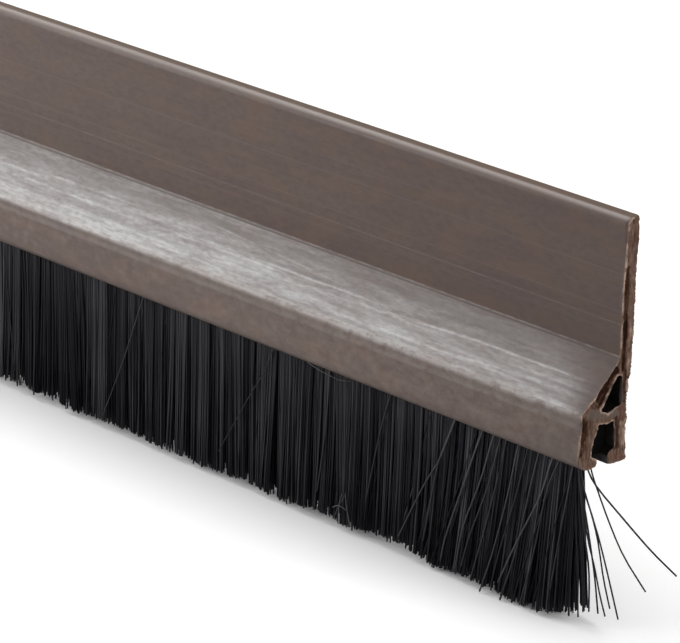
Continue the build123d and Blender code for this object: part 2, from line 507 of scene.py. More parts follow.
def ragged_ring(outline, end, is_hollow):
    """How far each point of a cut edge stands out in X, and its move in (y, z)."""
    path = along_outline(outline)
    seed = RAGGED_SEED + 11 * end + (50 if is_hollow else 0)
    out = 0.03 * drift(path, 0.35, seed) + 0.04 * drift(path, 1.4, seed + 1)
    push = 0.03 * drift(path, 0.3, seed + 2) + 0.03 * drift(path, 0.7, seed + 3)
    if end < 0:
        push = push + 0.08 * drift(path, 1.1, seed + 4)
    move = outward(outline) * (-push if is_hollow else push)[:, None]
    if end > 0:
        move = move + dragged(outline, path, HOLLOW_DRAGS if is_hollow else OUTER_DRAGS)
    return out, move


# What the saw left on the cut face: each mark runs from (y, z) to (y, z) and
# has half its width, how far its edge is soft, and its tone, from 0 for smeared
# dark brown to 1 for torn pale plastic; in the flange's groove the dark tone is
# painted shade. Later marks lie over earlier ones.
CUT_TONE = 0.52
CUT_MARKS = [
    # Hood wall and bend
    (-2.75, -7.5, -3.1, -8.1, 0.35, 0.3, 0.42), (-3.25, -8.55, -4.6, -9.95, 0.48, 0.2, -0.08),
    (-4.4, -9.75, -5.9, -11.25, 0.66, 0.25, -0.06), (-3.3, -9, -4.1, -9.75, 0.06, 0.16, 0.3),
    (-4.9, -10.35, -5.9, -11.2, 0.05, 0.16, 0.2), (-6.6, -11.3, -6.2, -11.9, 0.5, 0.35, 0.36),
    (-7.3, -11.6, -7.8, -12.1, 0.4, 0.3, 0.46),
    # Web
    (-6.7, -12.3, -2.6, -13, 0.5, 0.25, 0.5),
    # Front wall
    (-7.3, -12.9, -7.45, -16.2, 0.8, 0.3, 0.39), (-6.6, -13.3, -6.95, -16.4, 0.28, 0.3, 0.48),
    (-8, -12.25, -7.62, -13, 0.1, 0.16, 0.16), (-7.65, -12.9, -7.62, -14.2, 0.32, 0.22, 0.04),
    (-7.95, -14, -8.15, -16, 0.17, 0.25, 0.16), (-8.35, -13.9, -8.45, -15.6, 0.06, 0.14, 0.62),
    (-7.75, -16.6, -6.2, -17.5, 0.4, 0.3, 0.5),
    # Rear wall beside the channel and the hollow
    (-2.7, -13.9, -2.6, -16.9, 0.42, 0.18, 0.2), (-1.9, -14, -1.85, -16.4, 0.3, 0.16, 0.68),
    (-1.5, -13.5, -1.45, -16.9, 0.1, 0.12, 0.84), (-2.3, -12.7, -2, -13.7, 0.3, 0.25, 0.42),
    (-1.5, -12.5, -1.5, -13.7, 0.1, 0.15, 0.7), (-1.8, -9, -1.75, -12, 0.2, 0.2, 0.2),
    (-1.45, -9.95, -1.42, -11.1, 0.07, 0.14, 0.85), (-1.5, -11.5, -1.5, -12.3, 0.12, 0.15, 0.55),
    (-1.5, -8, -1.35, -9.3, 0.14, 0.2, 0.68),
    # Rear lip
    (-3.3, -17.6, -1.7, -17.8, 0.5, 0.3, 0.46), (-1.45, -17, -1.4, -18, 0.1, 0.15, 0.64),
    # Flange: the long groove, which deepens towards the foot; its dark tone is painted shade in the
    # groove
    (-2.3, 1.95, -2.27, -1.2, 0.25, 0.12, 0.17), (-2.25, -1, -2.15, -4.2, 0.28, 0.14, 0.2),
    (-2.15, -3.9, -2.12, -5.4, 0.22, 0.14, -0.05), (-2.2, -5.8, -2.12, -8.7, 0.17, 0.18, 0.04),
    (-2.42, -5, -2.45, -7.6, 0.05, 0.15, 0.4), (-2.4, -1.9, -2.4, -3, 0.04, 0.12, 0.33),
    (-1.4, -4.5, -1.2, -5.2, 0.14, 0.2, 0.76), (-1.2, -6.8, -1.3, -8.6, 0.12, 0.2, 0.7),
    (-1.45, 5.3, -1.4, 4.2, 0.1, 0.3, 0.38), (-2.55, 6.3, -2.5, 6, 0.06, 0.14, 0.8),
    (-2.35, 5.2, -2.4, 4.2, 0.12, 0.2, 0.42), (-1, 6.6, -1, 4, 0.05, 0.12, 0.32),
    (-1.8, 6.6, -1.9, 6.9, 0.05, 0.12, 0.35),
]
# Marks of the same kind with their strength: greyed plastic, reddened plastic,
# the hood's wall, where the saw marks slope, and pale burrs at the edges, their
# paleness partly a painted highlight
GREY_MARKS = [
    (-6.9, -11.9, -6, -12.3, 0.35, 0.3, 1), (-6.5, -12.3, -2.7, -13, 0.3, 0.25, 0.9),
]
RED_MARKS = [
    (-2.45, 5.1, -2.4, 4.3, 0.1, 0.2, 0.9), (-7, -11.2, -8.1, -11.7, 0.15, 0.2, 0.7),
    (-6.2, -17.4, -7, -17.5, 0.2, 0.3, 0.4), (-2.3, -12.8, -1.8, -13.6, 0.3, 0.3, 0.5),
    (-3.4, -17.5, -1.6, -18.1, 0.3, 0.3, 0.45), (-5.2, -11.75, -5.3, -12, 0.12, 0.15, 0.8),
    (-1.25, 6.4, -1.2, 4.2, 0.12, 0.2, 0.5),
]
WALL_MARKS = [(-3.2, -8.5, -6.4, -11.4, 0.7, 0.3, 1.0)]
RIM_MARKS = [
    (-2.3, 7.3, -2.8, 6.9, 0.3, 0.2, 0.55), (-2.75, 4.5, -2.75, 2.4, 0.2, 0.1, 0.75),
    (-2.8, 1.5, -2.85, -2.6, 0.2, 0.1, 0.65), (-2.75, -4, -2.75, -7, 0.2, 0.1, 0.5),
    (-2.6, -9.1, -3.2, -9.2, 0.2, 0.15, 0.6), (-3.4, -9.5, -4.2, -10.5, 0.2, 0.15, 0.35),
    (-4.4, -10.7, -5.5, -12.1, 0.2, 0.15, 0.85), (-5, -12.3, -4.2, -12.8, 0.2, 0.15, 0.65),
    (-3.9, -12.7, -2.6, -12.3, 0.15, 0.15, 0.35), (-5.3, -13.6, -3.2, -13.7, 0.2, 0.15, 0.85),
    (-5.65, -13.5, -6, -14.4, 0.2, 0.15, 0.5), (-6.4, -15.3, -6.55, -16.7, 0.3, 0.15, 1),
    (-6.3, -16.7, -5.8, -17.1, 0.3, 0.15, 0.8), (-3.1, -13.9, -2.9, -16.6, 0.15, 0.1, 0.3),
    (-6.6, -10.6, -7.9, -11.4, 0.15, 0.15, 0.85), (-7.9, -11.4, -8.3, -12, 0.15, 0.15, 0.5),
    (-3, -7.5, -6.4, -10.5, 0.1, 0.1, 0.28), (-8.3, -13.5, -8.55, -15.8, 0.12, 0.1, 0.35),
]


def marks(y, z, lines, end, seed):
    """The strongest of several soft marks at each point, with wandering edges."""
    found = np.zeros(len(y))
    if end < 0:
        # The far end's cut has its own marks, of the same kinds
        z = z + 0.8 * np.sin(y * 3 + 1) - 0.4
    sway = 0.07 * drift_2d(y, z, 0.3, 0.5, seed) + 0.05 * drift_2d(y, z, 0.9, 1.6, seed + 1)
    for y0, z0, y1, z1, half, soft, strength in lines:
        run_y, run_z = y1 - y0, z1 - z0
        share = ((y - y0) * run_y + (z - z0) * run_z) / (run_y**2 + run_z**2)
        share = np.clip(share, 0, 1)
        gap = np.hypot(y - y0 - share * run_y, z - z0 - share * run_z)
        found = np.maximum(found, strength * fade(gap + sway, half + soft, half))
    return found


def painted(y, z, end, seed):
    """The tone at each point, under marks that lie over one another."""
    tone = CUT_TONE + 0.05 * drift_2d(y, z, 0.7, 1.1, seed)
    for k, (*line, mark_tone) in enumerate(CUT_MARKS):
        share = marks(y, z, [(*line, 1.0)], end, seed + 2 * k)
        tone = tone * (1 - share) + mark_tone * share
    return tone


def cut_looks(y, z, end):
    """Tone and other marks of a cut face by name."""
    seed = CUT_SEED + 10 * end
    return {
        "tone": painted(y, z, end, seed + 100),
        "grey": marks(y, z, GREY_MARKS, end, seed + 7),
        "red": marks(y, z, RED_MARKS, end, seed + 9),
        "wall": marks(y, z, WALL_MARKS, end, seed),
        "rim": 0.08 + 0.92 * marks(y, z, RIM_MARKS, end, RIM_SEED),
    }


def cut_relief(y, z, edge_gap, tone, end):
    """X relief of a cut face in millimetres: dark places lie deeper."""
    seed = CUT_SEED + 10 * end
    grain = 0.03 * drift_2d(y, z, 0.2, 0.2, seed)
    scores = 0.04 * drift_2d(y, z, 0.22, 1.3, seed + 1)
    swell = 0.05 * drift_2d(y, z, 1.2, 1.6, seed + 2)
    rim = fade(edge_gap, 0.24, 0.05)
    return grain + scores + swell + 0.3 * np.clip(tone - 0.45, -0.4, 0.2) + 0.08 * rim


def cut_face(ring_outer, ring_hollow, end):
    """Inner points (y, z) of a cut face and its triangles over rings and points."""
    def in_plastic(places):
        return inside(places, ring_outer) & ~inside(places, ring_hollow)

    border = np.concatenate([ring_outer, ring_hollow])
    low, high = ring_outer.min(0), ring_outer.max(0)
    rows = int((high[1] - low[1]) / (CUT_POINT_STEP * CUT_ROW_SHARE)) + 1
    columns = int((high[0] - low[0]) / CUT_POINT_STEP) + 1
    row, column = np.mgrid[0:rows, 0:columns]
    grid_y = low[0] + (column + 0.5 * (row % 2)).ravel() * CUT_POINT_STEP
    grid_z = low[1] + row.ravel() * CUT_POINT_STEP * CUT_ROW_SHARE
    grid = np.stack([grid_y, grid_z], 1)
    shake = np.random.default_rng(POINT_SEED + end).uniform(-0.25, 0.25, grid.shape)
    grid += shake * CUT_POINT_STEP
    grid = grid[in_plastic(grid)]
    grid = grid[distance_to(grid, border) > 0.5 * CUT_POINT_STEP]
    points = np.concatenate([border, grid])
    edges = []
    for first, count in ((0, len(ring_outer)), (len(ring_outer), len(ring_hollow))):
        edges += [(first + i, first + (i + 1) % count) for i in range(count)]
    made = delaunay_2d_cdt([tuple(p) for p in points], edges, [], 0, 1e-7, True)
    origins = [source[0] if source else -1 for source in made[3]]
    triangles = np.array([[origins[v] for v in face] for face in made[2]])
    return grid, triangles[in_plastic(points[triangles].mean(1))]


def section_masks(outline, labels, is_hollow):
    """Point values that say where on the section each point is."""
    y, z = outline.T
    masks = {"around": along_outline(outline) * MM, "level": z * MM}
    if is_hollow:
        masks["inner"] = np.ones(len(z))
        for key in ("hood", "down", "roll", "top", "front"):
            masks[key] = np.zeros(len(z))
        return masks
    hood = np.isin(labels, [HOOD_RUN - 0.5, HOOD_RUN, HOOD_RUN + 0.5])
    roll = fade(z, TOP_Z - 0.5, TOP_Z - 0.17) * fade(z, TOP_Z - 0.02, TOP_Z - 0.1)
    front = np.isin(labels, [HOOD_RUN + 0.5, FRONT_RUN, FRONT_RUN + 0.5])
    inner = (labels > CHANNEL_RUNS[0] - 1) & (labels < CHANNEL_RUNS[-1] + 1)
    masks["hood"] = hood * fade(z, HOOD_Z - 0.6, HOOD_Z + 0.15)
    masks["down"] = np.clip((FLANGE_Y - y) / (FLANGE_Y - HOOD_Y), 0, 1)
    masks["roll"] = roll * (labels <= FLANGE_RUN) * (labels >= TOP_RUN + 0.5)
    masks["top"] = fade(z, TOP_Z - 0.06, TOP_Z - 0.01)
    masks["front"] = front.astype(float)
    masks["inner"] = inner.astype(float)
    return masks


def joined(parts):
    """Point values of several parts, end to end."""
    return {key: np.concatenate([part[key] for part in parts]) for key in parts[0]}


def shell_rings(outline, labels, is_hollow, places):
    """Points and point values of one loop of the section, ring after ring."""
    masks = section_masks(outline, labels, is_hollow)
    ragged = {end: ragged_ring(outline, end, is_hollow) for end in (1, -1)}
    looks = {end: cut_looks(*(outline + ragged[end][1]).T, end) for end in (1, -1)}
    rings, values = [], []
    for x, depth, end in places:
        out, move = ragged[end]
        shift = out * max(0.0, 1 - depth / SAW_DEPTH) ** 2 * end
        moved = outline + move * max(0.0, 1 - depth / BURR_DEPTH) ** 2
        rings.append(np.column_stack([x + shift, moved]))
        edge = np.full(len(outline), fade(depth, 0.13, 0.0))
        rim = edge * looks[end]["rim"]
        values.append({**masks, **looks[end], "cut": edge, "rim": rim})
    return np.concatenate(rings), joined(values)


def cut_end(edges, end, names):
    """Inner points of a cut end, its triangles and its point values."""
    grid, faces = cut_face(*edges, end)
    gap = distance_to(grid, np.concatenate(edges))
    values = {name: np.zeros(len(grid)) for name in names}
    values.update(cut_looks(*grid.T, end))
    values["cut"] = np.ones(len(grid))
    values["rim"] = fade(gap, 0.23, 0.06) * values["rim"]
    values["level"] = grid[:, 1] * MM
    relief = cut_relief(*grid.T, gap, values["tone"], end)
    return np.column_stack([end * (END_X + relief), grid]), faces, values


def make_carrier():
    """The carrier as one closed shell: both loops of rings and the two cut ends."""
    places = ring_places()
    points, quads, triangles, values = [], [], [], []
    rings = {1: [], -1: []}
    base = 0
    for corners, is_hollow in ((OUTER_CORNERS, False), (HOLLOW_CORNERS, True)):
        outline, labels = rounded_outline(corners, OUTLINE_STEP, ARC_STEPS)
        loop_points, loop_values = shell_rings(outline, labels, is_hollow, places)
        faces = tube_faces(len(outline), len(places), base)
        quads.append(faces[:, ::-1] if is_hollow else faces)
        points.append(loop_points)
        values.append(loop_values)
        rings[1].append(base + np.arange(len(outline)))
        base += len(loop_points)
        rings[-1].append(base - len(outline) + np.arange(len(outline)))
    stacked = np.concatenate(points)
    for end, index in rings.items():
        edges = [stacked[ring, 1:] for ring in index]
        inner, faces, inner_values = cut_end(edges, end, values[0])
        faces = np.concatenate([*index, base + np.arange(len(inner))])[faces]
        triangles.append(faces if end > 0 else faces[:, ::-1])
        points.append(inner)
        values.append(inner_values)
        base += len(inner)
    quads, triangles = np.concatenate(quads), np.concatenate(triangles)
    points = np.concatenate(points) * MM
    carrier = build_mesh("carrier_shell", points, quads, triangles, joined(values))
    carrier.data.set_sharp_from_angle(angle=SHARP_ANGLE)
    dress(carrier, carrier_material(), raw_material())
    # The cut faces, which are the triangles, have the second material
    is_cut = np.arange(len(quads) + len(triangles)) >= len(quads)
    carrier.data.polygons.foreach_set("material_index", is_cut.astype(np.int32))
    return carrier


# Carrier: its plastic

# Faint lines along the flange: height, half width, and how light (above 0) or
# dark (below 0) each is
FLANGE_LINES = [
    (1.42, 0.1, 0.22), (1.8, 0.12, -0.12), (-0.4, 0.12, -0.1), (-2.45, 0.12, 0.16),
    (-3.04, 0.14, -0.18), (-3.42, 0.12, -0.22), (-3.79, 0.1, 0.4), (-4.65, 0.1, 0.1),
    (-4.95, 0.14, -0.14), (-6.4, 0.2, -0.14),
]
# Long marks along the hood: X and how far down the hood they start, X and how
# far down they end, half their width, in millimetres, and how much lighter
# (or, below 0, darker) they are
HOOD_STREAKS = [
    (395, 0.6, 500.5, 0.58, 0.1, 0.07), (395, 1.35, 500.5, 1.42, 0.24, -0.34),
    (395, 2, 440, 2.15, 0.22, -0.26), (395, 3.68, 438, 3.55, 0.2, -0.22),
    (398, 4.2, 430, 4.12, 0.1, 0.6), (430, 4.2, 452, 4, 0.08, 0.35),
    (443, 4.02, 457, 3.95, 0.1, 0.7), (455, 3.52, 471, 3.42, 0.1, 0.75),
    (468, 4.15, 475, 4.1, 0.1, 0.45), (471, 4, 483, 3.55, 0.1, 0.5),
    (480, 3.5, 500.2, 3.42, 0.1, 0.52), (446, 1.65, 464, 2.75, 0.06, 0.35),
    (421, 2.72, 434.5, 2.65, 0.09, 0.5), (412, 3.35, 421, 3.3, 0.1, 0.45),
    (466, 6, 480, 5.92, 0.1, 0.3), (479, 5.95, 489.5, 5.3, 0.1, 0.32),
    (489, 5.3, 500, 5.2, 0.13, 0.16), (489, 4.5, 500, 4.45, 0.14, 0.16),
    (405, 4.68, 434, 4.7, 0.14, -0.4), (434, 5.15, 446, 5.12, 0.13, -0.35),
    (456, 5.1, 470, 5.1, 0.14, -0.3), (470, 4.78, 500, 4.85, 0.2, -0.32),
    (444, 3.25, 468, 3.05, 0.14, -0.3), (480, 3.15, 500, 3.08, 0.12, -0.3),
    (490, 5.62, 500, 5.6, 0.12, -0.35),
]
HOOD_LENGTH = (CARRIER_DEPTH - FLANGE_THICKNESS) / math.cos(HOOD_ANGLE)  # down its slope
# Raw plastic from the darkest tone to the palest
CUT_COLOURS = [
    (0, 0.018, 0.006, 0.003), (0.25, 0.062, 0.03, 0.0185), (0.4, 0.107, 0.062, 0.044),
    (0.55, 0.17, 0.108, 0.081), (0.75, 0.28, 0.182, 0.138), (1, 0.56, 0.43, 0.365),
]
PALE_LINE = (0.2, 0.165, 0.145)
DARK_LINE = (0.06, 0.042, 0.036)
# Painted shade on the skin towards the cut
PAINTED_SHADE_BROWN = (0.05, 0.033, 0.029)
# Painted highlights below the bend
HIGHLIGHT_GREY = (0.3, 0.28, 0.27)


def streak(x, down, line):
    """How strongly one long mark covers each place, 0 to 1."""
    x0, down0, x1, down1, half, _ = line
    # down is a share of the hood's length, and x is in metres
    run = (down1 - down0) / (x1 - x0) / MM / HOOD_LENGTH
    gap = (down - x * run) - (down0 / HOOD_LENGTH - run * x0 * MM)
    across = gap.calc("ABSOLUTE").span(2.35 * half / HOOD_LENGTH, 0)
    starts = x.span((x0 - 1.5) * MM, (x0 + 2.5) * MM)
    stops = x.span((x1 + 1.5) * MM, (x1 - 2.5) * MM)
    return across * (starts * stops)


def haze_and_sheen_on_hood(skin, x, flat):
    """Neutral haze over the hood, partly scuffs from handling and partly a painted sheen of the lamp
    above, patchy, with long streaks.
    """
    hood, down = point_value(x.tree, "hood"), point_value(x.tree, "down")
    wide = flat.noise((70, 500, 1), 3, offset=(1, 2, 0))
    cloud = flat.noise((170, 1300, 1), 4, 0.6, (5, 1, 0))
    grain = flat.noise((1000, 2700, 1), 2, 0.6, (2, 8, 0))
    # The haze stops short of the cut, further off near the flange
    reach = down.span(0, 1, 0.009, 0.0035)
    near_cut = ((END_X * MM - x) / reach).span(0, 1, 0.08, 1)
    cover = down.span(-0.1, 1, 0.33, 0.98) * wide.span(0.3, 0.66, 0.72, 1.08)
    cover = cover * cloud.span(0.3, 0.7, 0.67, 1.19) * grain.span(0.25, 0.75, 0.75, 1.19)
    # The painted sheen fades towards the cut, where the lamp's light falls off
    cover = cover * down.span(0, 0.035, 0.5, 1) * near_cut * x.span(0.5, 0.43, 0.6, 1)
    cover = cover.calc("MULTIPLY", hood, clamp=True)

    swayed = down + (wide - 0.5) * 0.04
    uneven = grain.span(0.3, 0.65, 0.45, 1) * wide.span(0.3, 0.6, 0.6, 1)
    uneven = uneven * cloud.span(0.36, 0.62, 0.45, 1.15)
    light = [streak(x, swayed, line) * line[-1] for line in HOOD_STREAKS if line[-1] > 0]
    dark = [streak(x, swayed, line) * -line[-1] for line in HOOD_STREAKS if line[-1] < 0]
    # Short fine scratches a hair off the length
    short = flat.noise((34, 3000, 1), 2.5, 0.5, (3, 3, 0), (0, 0, 0.02))
    short = short.span(0.58, 0.76, 0, 0.5) * cloud.span(0.38, 0.6, 0.1, 1)
    light = strongest([strongest(light) * uneven * near_cut, short * cover])
    return layered(
        skin,
        (cover, (0.48, 0.472, 0.468)),
        (strongest(dark) * uneven * hood, (0.11, 0.1, 0.094)),
        (light.calc("MULTIPLY", hood, clamp=True), (0.62, 0.615, 0.61)),
    )


def brown_skin(x, level, flat, mottle, fine_lines, warm):
    """Warm brown, cloudy, finely mottled, with faint lengthwise lines and painted shade towards the
    cut.
    """
    cloud = flat.noise((90, 220, 1), 3)
    wide_lines = flat.noise((5, 800, 1), offset=(3, 7, 0))
    low = level.span(0.002, -0.006) * x.span(0.478, 0.498, 0.04, 0.22)
    return layered(
        mix(cloud.span(0.3, 0.7), (0.105, 0.07, 0.062), (0.119, 0.083, 0.067)),
        (mottle.span(0.35, 0.68, 0, 0.5), (0.068, 0.046, 0.041)),
        (warm.span(0.44, 0.66) * x.span(0.425, 0.455, 0.4, 0.62), (0.13, 0.079, 0.056)),
        (fine_lines.span(0.62, 0.8, 0, 0.18), (0.2, 0.155, 0.135)),
        (wide_lines.span(0.5, 0.72, 0, 0.16), (0.08, 0.056, 0.048)),
        # Painted shade: darker towards the cut, where the lamps' light falls off, slightly darker
        # far from it, and darker low down near the cut
        (x.span(0.4, 0.5, 0, 0.22), PAINTED_SHADE_BROWN),
        (x.span(0.455, 0.425, 0, 0.09), (0.045, 0.036, 0.034)),
        (low, PAINTED_SHADE_BROWN),
    )


def stripe(level, height, half, softness=0.35):
    """A soft line along the strip, its height and half width in millimetres."""
    gap = (level - height * MM).calc("ABSOLUTE")
    return gap.span(half * MM, softness * half * MM)


def lines_along(skin, level, outside, mottle):
    """Faint lines on the flange, a painted highlight and painted shade at its foot, and a painted
    highlight on the bend.
    """
    line = outside * mottle.span(0.4, 0.6, 0.2, 1)
    for height, half, share in FLANGE_LINES:
        colour = PALE_LINE if share > 0 else DARK_LINE
        skin = mix(stripe(level, height, half) * line * abs(share), skin, colour)
    # Painted highlight along the bend
    bend_highlight = stripe(level, HOOD_Z + 0.2, 0.42, 0.1) * line * point_value(level.tree, "hood")
    return layered(
        skin,
        # Painted highlight above the fillet at the flange's foot, then painted shade in the fillet
        (stripe(level, FOOT_Z + 0.17, 0.12) * line * 0.42, (0.36, 0.31, 0.285)),
        (stripe(level, FOOT_Z - 0.02, 0.12) * (outside * 0.65), (0.07, 0.055, 0.048)),
        (bend_highlight * 0.3, (0.56, 0.535, 0.505)),
    )


def front_wall(skin, x, level, flat, warm, outside):
    """The wall under the bend: lighter and patchy, with two pale lines that are painted highlights,
    and painted shade where it turns under.
    """
    front = outside * point_value(x.tree, "front")
    patches = flat.noise((640, 800, 1), 3, 0.65, (8, 3, 0))
    patchy = patches.span(0.46, 0.66) * x.span(0.44, 0.48, 0.28, 0.5)
    low = level.span(-0.0152, -0.0165, 0, 0.1) + level.span(-0.0166, -0.0176, 0, 0.32)
    return layered(
        skin,
        # Painted highlights below the bend
        (stripe(level, HOOD_Z - 0.5, 0.4) * front * 0.15, HIGHLIGHT_GREY),
        (stripe(level, HOOD_Z - 1.02, 0.36) * front * 0.28, HIGHLIGHT_GREY),
        (front * x.span(0.43, 0.458, 0.11, 0.2), (0.315, 0.262, 0.228)),
        (front * warm.span(0.42, 0.64, 0, 0.14), (0.21, 0.134, 0.108)),
        (front * patchy, (0.092, 0.056, 0.049)),
        (front * patches.span(0.5, 0.3, 0, 0.16), (0.3, 0.25, 0.225)),
        (front * x.span(0.4915, 0.4995, 0, 0.17), (0.05, 0.036, 0.03)),
        # Painted shade where the wall turns under at its foot
        (low * outside, (0.055, 0.036, 0.028)),
    )


def carrier_material():
    """Brown rigid plastic: faint extrusion lines, a scuffed hood, painted highlights and shade, raw
    cut ends.
    """
    material, tree = new_material("carrier_plastic")
    place = object_place(tree)
    x = Field(tree, "ShaderNodeSeparateXYZ", {0: place})
    level, inner = point_value(tree, "level"), point_value(tree, "inner")
    flat = Field(tree, "ShaderNodeCombineXYZ", {0: x, 1: point_value(tree, "around")})
    mottle = flat.noise((900, 1700, 1), 3, 0.65)
    fine_lines = flat.noise((12, 3200, 1))
    warm = flat.noise((210, 420, 1), 3, offset=(9, 9, 0))
    outside = 1 - inner
    skin = brown_skin(x, level, flat, mottle, fine_lines, warm)
    # Scuffs and a painted sheen on the hood
    skin = haze_and_sheen_on_hood(skin, x, flat)
    skin = lines_along(skin, level, outside, mottle)
    skin = front_wall(skin, x, level, flat, warm, outside)
    cut = point_value(tree, "cut")
    skin = layered(
        skin,
        # Rolled front edge, lighter partly from rubbing and partly as a painted highlight, and
        # painted shade on the narrow top
        (point_value(tree, "roll") * 0.5, (0.4, 0.35, 0.32)),
        (point_value(tree, "top") * 0.6, (0.13, 0.085, 0.055)),
        # Channel and hollow: painted shade, nearly black
        (inner * 0.97, (0.006, 0.0045, 0.004)),
        (cut, raw_cut(place)),
    )
    sheen_break = flat.noise((40, 2600, 1), 3, offset=(6, 6, 0))
    rough = sheen_break.span(0.3, 0.7, 0.4, 0.52) + cut * 0.3
    height = fine_lines * 0.4 + mottle * 0.6
    return finished(material, skin, rough, 0.28, (height, 0.00005, 0.5))


def raw_cut(place):
    """Colour of the cut ends: raw brown plastic with saw marks, painted shade in the flange's
    groove, and pale burrs, partly painted highlights.
    """
    tree = place.tree
    # Saw marks run down the section, and along the slope on the hood's wall
    upright = place.noise((900, 4200, 800), 3, 0.6)
    along_slope = place.mapped(turn=(HOOD_ANGLE + math.radians(5), 0, 0))
    sloping = along_slope.noise((900, 700, 4200), 3, 0.6)
    wall = point_value(tree, "wall")
    scores = upright * (1 - wall) + sloping * wall
    patches = place.noise((1200, 1700, 1300), 3, offset=(4, 4, 4))
    tone = point_value(tree, "tone") + scores.span(0.3, 0.7, -0.13, 0.13)
    tone = tone + patches.span(0.3, 0.7, -0.07, 0.07)
    raw = Field(tree, "ShaderNodeValToRGB", {0: tone})
    stops = raw.socket.node.color_ramp.elements
    while len(stops) < len(CUT_COLOURS):
        stops.new(0.5)
    for stop, (position, *colour) in zip(stops, CUT_COLOURS):
        stop.position = position
        stop.color = (*colour, 1)
    return layered(
        raw,
        (point_value(tree, "grey") * patches.span(0.3, 0.7, 0.6, 0.95), (0.145, 0.115, 0.096)),
        (point_value(tree, "red") * 0.6, (0.17, 0.075, 0.055)),
        # Pale rims: burrs, lightened further as painted highlights
        (point_value(tree, "rim") * patches.span(0.36, 0.56, 0.3, 1), (0.66, 0.48, 0.39)),
    )


def raw_material():
    """The cut faces: the colour of the cut edges, rougher and hardly glossy."""
    material, tree = new_material("carrier_cut")
    place = object_place(tree)
    grain = place.noise((2500, 3500, 2500))
    rough = grain.span(0.3, 0.7, 0.65, 0.85)
    return finished(material, raw_cut(place), rough, 0.04, (grain, 0.0001, 0.5))


# Bristles: separate filaments, each a tapered three-sided prism

FLOOR_Z = -36.2  # the longest tips just touch it

FILAMENT_SIDES = 3
FILAMENT_WIDTH = 0.19
PRISM_WIDENING = 1.15  # so that three sides cover what a round filament does
TIP_TAPER = 0.86
NEAR_STRETCH = 105.0  # the stretch at the +X end with more filaments and bends
NEAR_INNER_PER_MM = 40
NEAR_STATIONS = 5
FAR_INNER_PER_MM = 16
FAR_STATIONS = 3
FAR_PIECES = 4
SKIN_STEP = 0.15  # between neighbours in the front and rear rows
ROOT_Z_IN_SPINE = FRONT_TIP_Z + 0.25
HALF_DROP = (NECK_Z - TIP_Z) / 2
BRISTLE_SEED = 900

# X, and the sideways lean of the bristles there, run over drop along the
# strip, above and below their middle
LEAN = [
    (-500, -0.1, -0.1), (-496, -0.02, -0.02), (-480, 0.03, 0.02), (420, 0.05, 0.03),
    (426, 0.1, 0.07), (433, 0.07, 0.06), (439, 0.05, 0), (446, 0.05, 0.04), (452, 0.06, 0.05),
    (459, 0.05, 0.03), (465, 0.045, 0.01), (472, 0.03, 0.03), (478, 0.02, 0.02),
    (485, -0.02, -0.03), (491, -0.05, -0.05), (494, -0.03, 0), (496, 0, 0.03),
    (497.4, 0.02, 0.05),
]
# X, and the share of bristles there that cross the others
CROSS = [
    (420, 0.03), (470, 0.04), (480, 0.06), (486, 0.12), (493, 0.12), (497, 0.06), (500, 0.03),
]
SLANT_X, CROSS_SLANT = 470, -0.2  # past this X they cross with this lean
# X where tips end, and how far they rise above their level there
RISE = [
    (-502, 1.5), (-498, 0.5), (-492, 0), (-480, 0.15), (418, 0.3), (424, 0.2), (426, -0.1),
    (429, 0.25), (440, 0.15), (448, -0.1), (453, 0.2), (458, -0.2), (460, 0.25), (464, 0.4),
    (468, 0), (471, 0.35), (476, 0.5), (478, 0), (480, -0.25), (483, 0.1), (487, -0.1),
    (491, -0.4), (494, -0.3), (496, 0.2), (498, 0.7), (500, 1.2), (502, 1.8),
]
LONGER_SHARE = 0.012
# X over which locks and filaments come to differ more in tone, and how light
# all of them are along the strip, darker towards the near end as painted shade
VIVID_X = (440, 482)
TONE_ALONG = [(425, 1.35), (440, 1.02), (460, 1), (500, 0.85)]
# Inner filaments darker than those in front, as painted shade in the pile
SHADED_INNER_TONE = 0.3


def filament_mesh(name, lines, radii, tones, down):
    """lines is (filament, station, xyz) in millimetres, radii and tones per station."""
    count, stations, _ = lines.shape
    tangent = np.gradient(lines, axis=1)
    tangent /= np.linalg.norm(tangent, axis=2)[..., None]
    side = np.cross(tangent, np.array([0.0, 1.0, 0.0]))
    side /= np.linalg.norm(side, axis=2)[..., None]
    other = np.cross(tangent, side)
    phase = lattice(count, len(name) * 31 + count) * 2 * math.pi
    rings = []
    for k in range(FILAMENT_SIDES):
        angle = phase + 2 * math.pi * k / FILAMENT_SIDES
        aside = side * (np.cos(angle)[:, None] * radii)[..., None]
        rings.append(lines + aside + other * (np.sin(angle)[:, None] * radii)[..., None])
    points = np.stack(rings, 2)
    start = (np.arange(count) * stations * FILAMENT_SIDES)[:, None]
    quads = [start + face for face in tube_faces(FILAMENT_SIDES, stations)[:, [0, 3, 2, 1]]]
    last = (stations - 1) * FILAMENT_SIDES
    triangles = [start + np.array([2, 1, 0]), start + last + np.array([0, 1, 2])]
    values = {
        "tone": np.repeat(tones.ravel(), FILAMENT_SIDES),
        "fall": np.tile(np.repeat(down, FILAMENT_SIDES), count),
    }
    points = points.reshape(-1, 3) * MM
    return build_mesh(name, points, np.concatenate(quads), np.concatenate(triangles), values)


